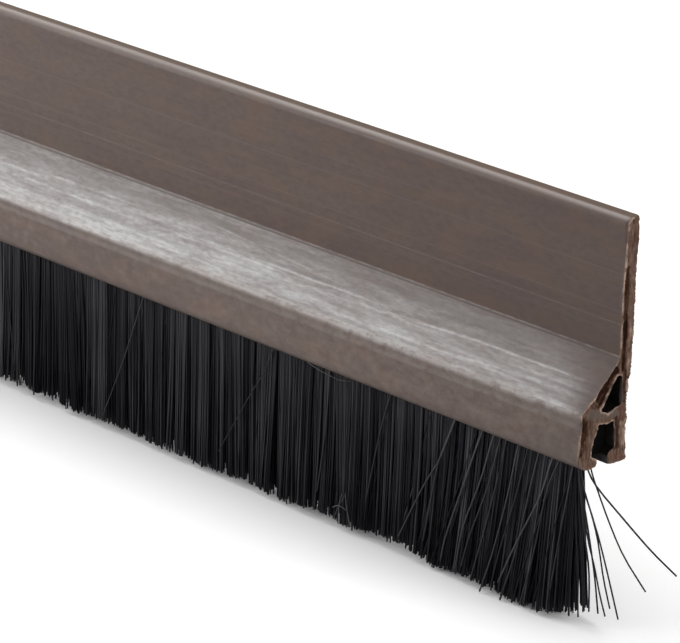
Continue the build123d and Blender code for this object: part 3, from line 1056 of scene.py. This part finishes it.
def locks(low, high, seed):
    """Start, width and traits of the locks that the filaments hang in."""
    random = np.random.default_rng(seed)
    count = int((high - low) / 0.3)
    widths = 0.3 + random.gamma(1.3, 0.42, count)
    edges = low + np.concatenate([[0], np.cumsum(widths)])
    keep = edges[:-1] < high
    start, width = edges[:-1][keep], widths[keep]
    width = np.minimum(width, high - start)
    size = len(start)
    return {
        "start": start,
        "width": width,
        "gap": np.minimum(0.3 * width, random.exponential(0.08, size) + 0.01),
        "lean": random.normal(0, 0.014, size),
        "turn": random.normal(0, 0.02, size),
        "depth": random.random(size) ** 1.5 * 0.16,
        "drop": random.normal(0, 0.05, size),
        "tone": random.random(size) ** 1.5,
        "pinch": random.uniform(0.0, 0.4, size),
        "middle": start + width / 2,
    }


def row_in_locks(table, seed):
    """One row of filaments: each one's X and its lock."""
    random = np.random.default_rng(seed)
    room = table["width"] - table["gap"]
    counts = np.maximum(1, np.round(room / SKIN_STEP)).astype(int)
    lock = np.repeat(np.arange(len(counts)), counts)
    order = np.arange(len(lock)) - np.repeat(np.cumsum(counts) - counts, counts)
    share = (order + 0.5) / counts[lock]
    x = table["start"][lock] + table["gap"][lock] / 2 + share * room[lock]
    return x + random.normal(0, 0.012, len(x)), lock


def roots(low, high, inner_per_mm, random, seed):
    """X and traits of each filament, and whether it is in the front or any row."""
    front, rear = locks(low, high, seed + 1), locks(low, high, seed + 3)
    front_x, front_lock = row_in_locks(front, seed + 2)
    rear_x, rear_lock = row_in_locks(rear, seed + 4)
    inner_x = random.uniform(low, high, int((high - low) * inner_per_mm))
    last = len(front["start"]) - 1
    inner_lock = np.clip(np.searchsorted(front["start"], inner_x) - 1, 0, last)
    trait = {}
    for key in front:
        parts = [front[key][front_lock], rear[key][rear_lock], front[key][inner_lock]]
        trait[key] = np.concatenate(parts)
    x = np.concatenate([front_x, rear_x, inner_x])
    order = np.arange(len(x))
    return x, trait, order < len(front_x), order < len(front_x) + len(rear_x)


def across_slot(trait, is_front, is_skin, random):
    """Y of each filament in the slot and at its tip."""
    count = len(is_skin)
    depth = trait["depth"] + random.uniform(0, 0.015, count)
    across = np.where(is_front, depth - 0.5, 0.5 - depth)
    across = np.where(is_skin, across, random.uniform(-0.42, 0.42, count))
    neck_width = REAR_TIP_Y - FRONT_TIP_Y - 2 * SLOT_CLEARANCE - FILAMENT_WIDTH
    y_tip = SLOT_Y + across * (BRISTLE_TIP_WIDTH - FILAMENT_WIDTH)
    return SLOT_Y + across * neck_width, y_tip + 0.1 * random.normal(0, 1, count)


def leans(x, trait, is_skin, random):
    """Run over drop of each filament, above and below its middle."""
    count = len(x)
    own = random.normal(0, 1, count) * np.where(is_skin, 0.008, 0.03)
    crosses = random.random(count) < np.interp(x, *np.array(CROSS).T)
    slant = np.where(x > SLANT_X, CROSS_SLANT, 0.0) + random.normal(0, 0.07, count)
    own = own + np.where(crosses, slant, 0)
    lean_x, lean_upper, lean_lower = np.array(LEAN).T
    upper = np.interp(x, lean_x, lean_upper) + 0.02 * drift(x, 9.0, 6)
    lower = np.interp(x, lean_x, lean_lower) + 0.03 * drift(x, 6.0, 7)
    return upper + trait["lean"] + own, lower + trait["lean"] + trait["turn"] + own


def tip_levels(x, tip_x, trait, random):
    """Z of each tip: near their level, with a few that hang lower to the floor."""
    count = len(x)
    tip_z = TIP_Z + np.interp(tip_x, *np.array(RISE).T) + 0.1 * drift(x, 5.0, 8)
    tip_z = tip_z + trait["drop"] + random.normal(0, 0.1, count)
    longer = random.random(count) < LONGER_SHARE
    tip_z = tip_z - np.where(longer, random.uniform(0.1, 0.6, count), 0)
    return np.maximum(tip_z, FLOOR_Z + 0.03)


def pile_lines(low, high, inner_per_mm, stations, seed):
    """Centrelines, radii and tones of the filaments between two X, in millimetres."""
    random = np.random.default_rng(seed)
    x, trait, is_front, is_skin = roots(low, high, inner_per_mm, random, seed)
    y_neck, y_tip = across_slot(trait, is_front, is_skin, random)
    upper, lower = leans(x, trait, is_skin, random)
    tip_z = tip_levels(x, x + (upper + lower) * HALF_DROP, trait, random)
    count = len(x)
    bow = random.normal(0, 1, count) * np.where(is_skin, 0.04, 0.15)
    gather = (trait["middle"] - x) * trait["pinch"] * is_skin
    shares = np.linspace(0, 1, stations - 1)
    levels = [np.full(count, ROOT_Z_IN_SPINE)]
    levels += [NECK_Z + (tip_z - NECK_Z) * share for share in shares]
    half_z = NECK_Z - HALF_DROP
    lines = np.zeros((count, stations, 3))
    for k, z in enumerate(levels):
        drop_upper = NECK_Z - np.maximum(z, half_z)
        drop_lower = np.maximum(0, half_z - z)
        flare = np.clip((NECK_Z - z) / (NECK_Z - TIP_Z), 0, 1.1)
        curve = bow * np.sin(np.pi * np.clip(flare, 0, 1))
        lean = upper * drop_upper + lower * drop_lower + curve + gather * flare
        lines[:, k, 0] = x + np.where(z < NECK_Z + 1e-9, lean, 0)
        lines[:, k, 1] = y_neck + (y_tip - y_neck) * flare
        lines[:, k, 2] = z
    width = FILAMENT_WIDTH * random.uniform(0.85, 1.12, count)
    taper = np.linspace(1.0, TIP_TAPER, stations)
    radii = width[:, None] / 2 * PRISM_WIDENING * taper
    tones = pile_tones(lines, x, trait["tone"], is_skin, random)
    return lines, radii, tones, np.linspace(0, 1, stations)


def pile_tones(lines, x, lock_tone, is_skin, random):
    """How light each filament is at each station.

    Near the slot all are even in tone, lower down each lock has its own tone,
    and towards the tips each filament. Towards the near end they differ more, and
    the inner filaments and the near end are darker, as painted shade.
    """
    down = np.linspace(0, 1, lines.shape[1])
    vivid = np.interp(x, VIVID_X, (0, 1))
    own_tone = random.random(len(x)) ** (2.5 + 1.5 * vivid) * (1.7 + 1.5 * vivid)
    lock_tone = np.minimum(lock_tone, 0.72 + 0.28 * vivid)
    even = 0.42 + 0.6 * (lock_tone - 0.4) + 0.1 * (own_tone - 0.5)
    even, lock_tone, own_tone, vivid = (
        part[:, None] for part in (np.maximum(even, 0.05), lock_tone, own_tone, vivid)
    )
    panel = fade(down, 0.8, 0.2) * (1 - 0.4 * vivid)
    single = 0.06 + 0.24 * fade(down, 0.2, 1.0) + (0.44 + 0.06 * fade(down, 1.0, 0.2)) * vivid
    low = lock_tone * (1 - single) * 1.4 + own_tone * single
    tones = even * panel + low * (1 - panel)
    patch = drift_2d(lines[:, :, 0].ravel(), lines[:, :, 2].ravel(), 2.2, 5.0, 9)
    tones = tones * (1 + 0.3 * patch.reshape(tones.shape) * (0.4 + 0.6 * vivid))
    tones = tones * np.where(is_skin, 1.0, SHADED_INNER_TONE)[:, None]
    tones = tones * np.interp(x, *np.array(TONE_ALONG).T)[:, None]
    tones = tones * (1 + 0.35 * (1 - vivid) * fade(down, 0.5, 0.95))
    return np.minimum(tones, 1 / (1.15 - 0.57 * fade(down, 0.1, 0.7)))


def make_bristles():
    """The stretch that the camera sees, and the rest of the strip in equal pieces."""
    start, end = END_X - NEAR_STRETCH, END_X - BRISTLE_RECESS
    near = pile_lines(start, end, NEAR_INNER_PER_MM, NEAR_STATIONS, BRISTLE_SEED)
    pieces = [filament_mesh("bristles_near", *near)]
    edges = np.linspace(-end, start, FAR_PIECES + 1)
    for k in range(FAR_PIECES):
        seed = BRISTLE_SEED + 10 + 10 * k
        far = pile_lines(edges[k], edges[k + 1], FAR_INNER_PER_MM, FAR_STATIONS, seed)
        pieces.append(filament_mesh(f"bristles_{k + 1}", *far))
    return pieces


# Single filaments, traced as the camera sees them: a traced point is the
# (x, z) in millimetres at which the camera sees it on the plane at TRACE_Y.
TRACE_Y = -6.0
STRAY_STATIONS = 14

# Across the front of the others: width, tone, gap to the pile behind, then the
# traced points. The first stretch runs on up into the slot.
CROSSING_ROOT_Y, CROSSING_ROOT_Z = -5.3, -17.3
FRONT_STRAYS = [
    (0.19, 1.3, 0.16, (482, -18.6), (480.1, -23.6), (478, -27.4), (474.8, -34.2)),
    (0.19, 1.1, 0.1, (481.7, -19.2), (480, -23.8), (479.1, -28.5), (478.2, -33.5)),
    (0.17, 0.9, 0.1, (473, -19.2), (471.8, -23.6), (470.2, -31.5)),
    (0.19, 1.1, 0.1, (485.4, -19.3), (483.2, -26), (481.3, -31.9), (480.7, -34.9)),
    (0.19, 1, 0.16, (487, -19.1), (485.6, -24.3), (483.6, -30), (482.7, -35.2)),
    (0.17, 0.9, 0.1, (487.9, -19.1), (486.6, -24.6), (484.4, -31), (483.5, -34.6)),
    (0.19, 1.2, 0.16, (490.3, -19), (489.2, -24.9), (487.6, -31.6), (486.1, -36.5)),
    (0.19, 1, 0.1, (491.5, -18.9), (490.3, -24.3), (488.4, -31.3), (487.6, -35)),
    (0.19, 1.3, 0.16, (494.5, -19.6), (493.4, -23.4), (490.7, -29.3), (488.5, -34.6)),
    (0.18, 1.2, 0.16, (495.5, -19), (494.2, -22.6), (492.9, -29.9), (491.4, -36.1)),
    (0.19, 0.9, 0.1, (497.2, -20), (496.6, -24), (496, -28), (495.3, -33)),
    (0.19, 1, 0.1, (492.6, -20.5), (491.6, -25.5), (490.6, -30.5), (488.8, -36.5)),
    (0.14, 0.9, 0.16, (436.7, -19.2), (434, -26.5), (432.2, -30.8), (430.5, -34.8)),
    (0.13, 0.35, 0.16, (456.4, -18.9), (455, -22.1), (453.1, -25.2), (448.6, -33.1)),
    (0.16, 0.7, 0.1, (464.6, -19), (464.4, -23), (463.9, -28), (463.2, -33)),
]

# Off the near end: the root (x, y) in the slot, then each traced point with the
# Y at which it lies
END_ROOT_Z = -17.2
END_TONE = 0.5
END_STRAYS = [
    [(497.9, -5), (499.3, -18.4, -5), (500.6, -19.9, -5.1), (504, -22.1, -5.2),
     (507.6, -24.3, -5.4), (510.9, -25.9, -5.6)],
    [(498.3, -4.8), (499.8, -18.4, -4.8), (500.7, -20.2, -4.8), (502.4, -23.2, -4.9),
     (504.4, -26.1, -5), (507.3, -28.9, -5.2)],
    [(497.5, -5.2), (498.7, -19.9, -5.2), (500.3, -23.4, -5.2), (501.3, -25.6, -5.3),
     (502.5, -28.7, -5.4), (504.1, -33.1, -5.6)],
    [(497.2, -5), (498.6, -19.9, -5), (500, -22.8, -5), (501, -25.4, -5.1),
     (502, -29.3, -5.2), (503, -32.3, -5.3)],
    [(497.5, -5.3), (498.4, -20, -5.3), (499.4, -23.6, -5.3), (500.3, -27.2, -5.4),
     (500.9, -29.9, -5.5), (501.5, -33.4, -5.6)],
    [(497.3, -4.9), (498.5, -20, -4.9), (499.6, -25.4, -4.9), (500.7, -28.4, -5),
     (501.6, -31.3, -5.1), (502.4, -33.4, -5.2)],
    [(497.5, -5.4), (498.2, -19.3, -5.5), (499.3, -25.4, -5.7), (500.1, -29.3, -5.9),
     (500.35, -33.6, -6.1)],
    [(497.4, -5.1), (498.2, -19.9, -5.1), (498.6, -24.5, -5.2), (499.2, -29.2, -5.3),
     (499.6, -33.9, -5.4)],
    [(497.2, -5.3), (497.9, -20, -5.3), (498.1, -24.6, -5.4), (498.6, -29.3, -5.5),
     (499, -34.7, -5.6)],
]

# A hair caught under the front lip, traced points with their Y as above, and a
# pinch of crossed tips, as points (x, y, z)
LOOSE_WIDTH, LOOSE_TONE = 0.09, 1.9
CAUGHT_HAIR = [
    (461.4, -18.7, -7), (463.4, -19.1, -7.4), (464.5, -19.2, -7.5), (465.7, -19.3, -7.6),
    (466.7, -19.15, -7.6), (467.9, -18.8, -7.5),
]
CROSSED_TIPS = [
    [(466.2, -6.62, -34.9), (466.9, -6.66, -33.2), (467.6, -6.7, -32), (468, -6.72, -31.3)],
    [(466.9, -6.62, -35.1), (467, -6.68, -33), (467.4, -6.7, -31.6)],
    [(468.6, -6.6, -35.1), (468.2, -6.7, -33.4), (467.9, -6.74, -31.5)],
    [(466.1, -6.7, -33.6), (467, -6.74, -33.1), (468.3, -6.74, -33.3)],
]


def seen_at(x, z, y):
    """The point at this Y which the camera sees at the traced (x, z)."""
    eye = np.array(CAMERA_PLACE) / MM
    ray = np.array([x, TRACE_Y, z]) - eye
    return eye + ray * (y - eye[1]) / (TRACE_Y - eye[1])


def pile_front_y(z):
    """The front of the room that the bristles fill, from the slot to the tips."""
    neck_y = FRONT_TIP_Y + SLOT_CLEARANCE
    tip_y = SLOT_Y - BRISTLE_TIP_WIDTH / 2
    return neck_y + (tip_y - neck_y) * np.clip((NECK_Z - z) / (NECK_Z - TIP_Z), 0, 1.1)


def before_pile(x, z, gap):
    """Where a traced point lies if it is this far in front of the pile."""
    place = seen_at(x, z, TRACE_Y)
    for _ in range(4):
        place = seen_at(x, z, pile_front_y(place[2]) - gap)
    return place


def crossing_line(gap, traced):
    """Points down a filament that lies in front of the pile, from the slot on."""
    points = [before_pile(x, z, gap) for x, z in traced]
    run = (points[0] - points[1]) / (points[0][2] - points[1][2])
    root_x = (points[0] + run * (CROSSING_ROOT_Z - points[0][2]))[0]
    return [(root_x, CROSSING_ROOT_Y, CROSSING_ROOT_Z), *points]


def smooth_line(points, stations):
    """A Catmull-Rom line through the points, at even steps."""
    points = np.array(points, float)
    ends = np.array([2 * points[0] - points[1], *points, 2 * points[-1] - points[-2]])
    made = []
    for place in np.linspace(0, len(points) - 1, stations):
        k = min(int(place), len(points) - 2)
        t = place - k
        a, b, c, d = ends[k : k + 4]
        cubic = (3 * b - a - 3 * c + d) * t**3
        made.append(0.5 * (2 * b + (c - a) * t + (2 * a - 5 * b + 4 * c - d) * t * t + cubic))
    return made


def hairs(name, lists, widths, tone):
    """One piece from lists of points, with a width and tone for all or for each."""
    lines = np.array([smooth_line(points, STRAY_STATIONS) for points in lists])
    even = np.ones(lines.shape[:2])
    radii = np.array(widths)[..., None] / 2 * PRISM_WIDENING * even
    tones = np.array(tone)[..., None] * even
    return filament_mesh(name, lines, radii, tones, np.linspace(0, 1, STRAY_STATIONS))


def make_strays():
    """The crossing filaments, those off the near end, and the loose hairs."""
    widths, tones = zip(*(stray[:2] for stray in FRONT_STRAYS))
    crossing = [crossing_line(gap, traced) for _, _, gap, *traced in FRONT_STRAYS]
    ends = [
        [(*root, END_ROOT_Z), *(seen_at(*point) for point in traced)]
        for root, *traced in END_STRAYS
    ]
    loose = [[seen_at(*point) for point in CAUGHT_HAIR], *CROSSED_TIPS]
    return [
        hairs("crossing_filaments", crossing, widths, tones),
        hairs("stray_filaments", ends, FILAMENT_WIDTH, END_TONE),
        hairs("loose_hairs", loose, LOOSE_WIDTH, LOOSE_TONE),
    ]


def bristle_material():
    """Black filaments with a soft sheen; a painted sheen makes them paler near the slot, and painted
    shade darker towards the tips.
    """
    material, tree = new_material("bristle_black")
    tone = point_value(tree, "tone")
    # Painted sheen: paler near the slot; painted shade: darker towards the tips
    shade = tone * point_value(tree, "fall").span(0.1, 0.7, 1.15, 0.58)
    colour = mix(shade, (0.0009, 0.0008, 0.0042), (0.07, 0.069, 0.074), clamp=False)
    return finished(material, colour, tone.span(0, 1, 0.45, 0.32), 0.09)


# Spine, tape and liner

TAPE_EDGE_RADIUS = 0.15
LINER_EDGE_RADIUS = 0.03
TAPE_WANDER, LINER_WANDER = 0.08, 0.05
TAPE_SEED, LINER_SEED = 40, 50
STRIP_STEP = 4.0
STRIP_END_DEPTHS = [0.0, 0.08, 0.2, 0.5, 1.2, 2.5]


def strip(name, near_y, far_y, half_width, radius, wander, seed):
    """A strip on the flange's back, its long edges and cut ends a little uneven."""
    low = near_y + 0.5 * radius
    corners = [
        ((near_y, -half_width), 0.5 * radius),
        ((near_y, half_width), 0.5 * radius),
        ((far_y, half_width), radius),
        ((far_y, -half_width), radius),
    ]
    outline, _ = rounded_outline(corners, 0.5, 4)
    y, z = outline.T
    end_x = END_X - TAPE_SETBACK
    inner = [end_x - depth for depth in STRIP_END_DEPTHS]
    middle = np.arange(-inner[-1] + STRIP_STEP, inner[-1], STRIP_STEP)
    places = [*(-x for x in inner), *middle, *reversed(inner)]
    upper = wander * (drift(np.array(places), 9.0, seed) - 1)
    lower = wander * (drift(np.array(places), 7.0, seed + 1) - 1)
    out = 0.05 * drift(z, 0.8, seed + 2)
    waist = 1 - 0.6 * np.abs((y - low) / (far_y - low) - 0.5)
    edge = fade(half_width - np.abs(z), 0.6, 0.0) * waist
    points = []
    for k, x in enumerate(places):
        widest = np.where(z > 0, upper[k], -lower[k])
        cut = out * fade(end_x - abs(x), 0.6, 0.0) * np.sign(x)
        points.append(np.column_stack([x + cut, y, z + widest * edge]))
    last = (len(places) - 1) * len(y)
    caps = []
    for k in range(1, len(y) - 1):
        caps.append([0, k, k + 1])
        caps.append([last, last + k + 1, last + k])
    return build_mesh(name, np.concatenate(points) * MM, tube_faces(len(y), len(places)), caps)


def spine_material():
    """Fused black plastic with a slightly uneven skin, made darker than the plastic is, as painted
    shade in the channel.
    """
    material, tree = new_material("fused_plastic")
    lumps = object_place(tree).noise((500, 1500, 1500), 3)
    # Painted shade: darker than black plastic is
    colour = mix(lumps, (0.0008, 0.0007, 0.0008), (0.0035, 0.003, 0.003))
    rough = lumps.span(0.3, 0.7, 0.55, 0.8)
    return finished(material, colour, rough, 0.03, (lumps, 0.0001, 0.6))


def foam_material():
    """Pale closed-cell foam: fine pores over soft unevenness."""
    material, tree = new_material("tape_foam")
    place = object_place(tree)
    cells = {"Vector": place, "Scale": 3800}
    pores = Field(tree, "ShaderNodeTexVoronoi", cells, "Distance")
    cloud = place.noise((180, 180, 180), 3)
    colour = mix(pores.span(0.1, 0.6), (0.72, 0.7, 0.64), (0.8, 0.79, 0.74))
    colour = mix(cloud.span(0.35, 0.7, 0, 0.3), colour, (0.66, 0.64, 0.58))
    rough = cloud.span(0.3, 0.7, 0.75, 0.95)
    return finished(material, colour, rough, relief=(pores, 0.0001, 0.7))


def liner_material():
    """Coated release paper: smooth, faintly mottled, in gentle lengthwise waves."""
    material, tree = new_material("liner_paper")
    place = object_place(tree)
    fibres = place.noise((900, 900, 2600), 4)
    waves = place.noise((22, 100, 90))
    colour = mix(fibres.span(0.3, 0.7), (0.8, 0.765, 0.66), (0.86, 0.835, 0.745))
    rough = waves.span(0.3, 0.7, 0.32, 0.46)
    return finished(material, colour, rough, relief=(waves, 0.0006, 0.5))


# Floor, light and camera

FLOOR_HALF = 4.0
FLOOR_LIGHT = 0.4  # how light the floor is for what it lights from below
WORLD_LIGHT = 0.4  # strength of the world, which the camera sees at full strength
WHITE = (1.0, 1.0, 1.0)
SENSOR_WIDTH = 36.0
FOCAL_PIXELS = 3765.1  # the focal length as a number of the photo's pixels
PHOTO_WIDTH = 680
CAMERA_RIGHT = (0.7308, 0.6823, 0.0225)
CAMERA_UP = (-0.2786, 0.2680, 0.9223)
CAMERA_BACK = (0.6232, -0.6802, 0.3859)
CAMERA_PLACE = (0.7075, -0.26973, 0.13689)
NEAR_TARGET = (0.44, -0.005, -0.01)
# Lamps: name, place, target, size, watts and spread in degrees. The rest of the
# strip has its own, whose narrow spread stops short of the end that the camera
# looks at.
LAMPS = [
    ("upper_left", (0.02, 0.04, 0.58), NEAR_TARGET, (0.5, 0.45), 3.3, 180),
    ("front_left", (0.2, -0.22, 0.09), NEAR_TARGET, (0.25, 0.2), 0.8, 180),
    ("right", (1, 0.05, 0.25), (0.5, -0.005, -0.01), (0.3, 0.3), 1.3, 180),
    ("far_top", (-0.26, 0.05, 0.5), (-0.26, 0, 0), (0.6, 0.3), 0.7, 60),
    ("far_front", (-0.26, -0.4, 0.2), (-0.26, 0, 0), (0.6, 0.2), 0.25, 60),
    ("far_back", (-0.22, 0.5, 0.3), (-0.22, 0, 0), (0.5, 0.25), 0.2, 50),
]


def ray_is(tree, *kinds):
    """1 for rays of these kinds and 0 for all others."""
    return strongest(Field(tree, "ShaderNodeLightPath", None, f"Is {kind} Ray") for kind in kinds)


def make_floor():
    """A floor that the camera sees white, while the contact shadow still shows.

    Past the reach of the lamps it also glows for the camera, so that it stays white.
    """
    corners = [(-1, -1), (1, -1), (1, 1), (-1, 1)]
    points = [(x * FLOOR_HALF, y * FLOOR_HALF, FLOOR_Z * MM) for x, y in corners]
    floor = build_mesh("studio_floor", points, [[0, 1, 2, 3]], [], smooth=False)
    material, tree = new_material("studio_white")
    place = object_place(tree)
    x = Field(tree, "ShaderNodeSeparateXYZ", {0: place})
    seen = ray_is(tree, "Camera", "Glossy", "Transmission")
    # Painted light: the camera sees the floor lighter towards and past the near end, which washes
    # out the object's shadow there, and darker to the left
    value = seen * x.span(0.4, 0.53, 0.64, 0.77) + FLOOR_LIGHT
    colour = Field(tree, "ShaderNodeCombineColor", {0: value, 1: value, 2: value})
    dress(floor, finished(material, colour, 1.0, 0.0))
    squeezed = place.mapped((0.6, 1.0, 0.0), (-0.06, 0.0, 0.0))
    away = Field(tree, "ShaderNodeVectorMath", {0: squeezed}, "Value", operation="LENGTH")
    shader = tree.nodes["Principled BSDF"]
    plug(shader.inputs["Emission Strength"], seen * away.span(0.24, 0.46, 0.0, 0.62))
    plug(shader.inputs["Emission Color"], WHITE)


def make_world():
    world = bpy.data.worlds.new("studio")
    bpy.context.scene.world = world
    world.use_nodes = True
    back = world.node_tree.nodes["Background"]
    seen = ray_is(world.node_tree, "Camera", "Transmission")
    plug(back.inputs["Strength"], seen * (1 - WORLD_LIGHT) + WORLD_LIGHT)
    plug(back.inputs["Color"], WHITE)


def put_in_scene(name, data, right, up, back, place):
    """A lamp or camera at a place, with its axes; it looks away from back."""
    ob = bpy.data.objects.new(name, data)
    bpy.context.scene.collection.objects.link(ob)
    ob.matrix_world = Matrix([*zip(right, up, back, place), (0.0, 0.0, 0.0, 1.0)])
    return ob


def make_lamp(name, place, target, size, watts, spread):
    """A soft rectangular lamp, level across, that looks at its target."""
    data = bpy.data.lights.new(name, "AREA")
    data.spread = math.radians(spread)
    data.shape = "RECTANGLE"
    data.size, data.size_y = size
    data.energy = watts
    back = np.array(place, float) - np.array(target, float)
    back /= np.linalg.norm(back)
    right = np.cross([0.0, 0.0, 1.0], back)
    right /= np.linalg.norm(right)
    lamp = put_in_scene(name, data, right, np.cross(back, right), back, place)
    lamp.visible_camera = False


def make_camera():
    data = bpy.data.cameras.new("camera")
    data.sensor_width = SENSOR_WIDTH
    data.lens = FOCAL_PIXELS / PHOTO_WIDTH * SENSOR_WIDTH
    data.clip_start, data.clip_end = 0.01, 20.0
    axes = (CAMERA_RIGHT, CAMERA_UP, CAMERA_BACK)
    bpy.context.scene.camera = put_in_scene("camera", data, *axes, CAMERA_PLACE)


make_camera()
make_world()
make_floor()
for lamp in LAMPS:
    make_lamp(*lamp)

carrier = make_carrier()
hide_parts("carrier_profile")
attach(carrier, "root")

black = bristle_material()
for piece in [*make_bristles(), *make_strays()]:
    dress(piece, black)
    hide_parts("bristle_pile")
    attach(piece, "root")

dress(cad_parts["brush_spine"], spine_material())

tape_back = BACK_Y + TAPE_THICKNESS
tape_half = TAPE_WIDTH / 2
tape = strip("foam_tape", BACK_Y, tape_back, tape_half, TAPE_EDGE_RADIUS, TAPE_WANDER, TAPE_SEED)
dress(tape, foam_material())
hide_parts("adhesive_tape")
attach(tape, "root")

liner_half = tape_half + LINER_OVERHANG
liner = strip("liner_paper", tape_back, 0.0, liner_half, LINER_EDGE_RADIUS, LINER_WANDER, LINER_SEED)
dress(liner, liner_material())
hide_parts("release_liner")
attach(liner, "root")

view = bpy.context.scene.view_settings
view.view_transform = "Standard"
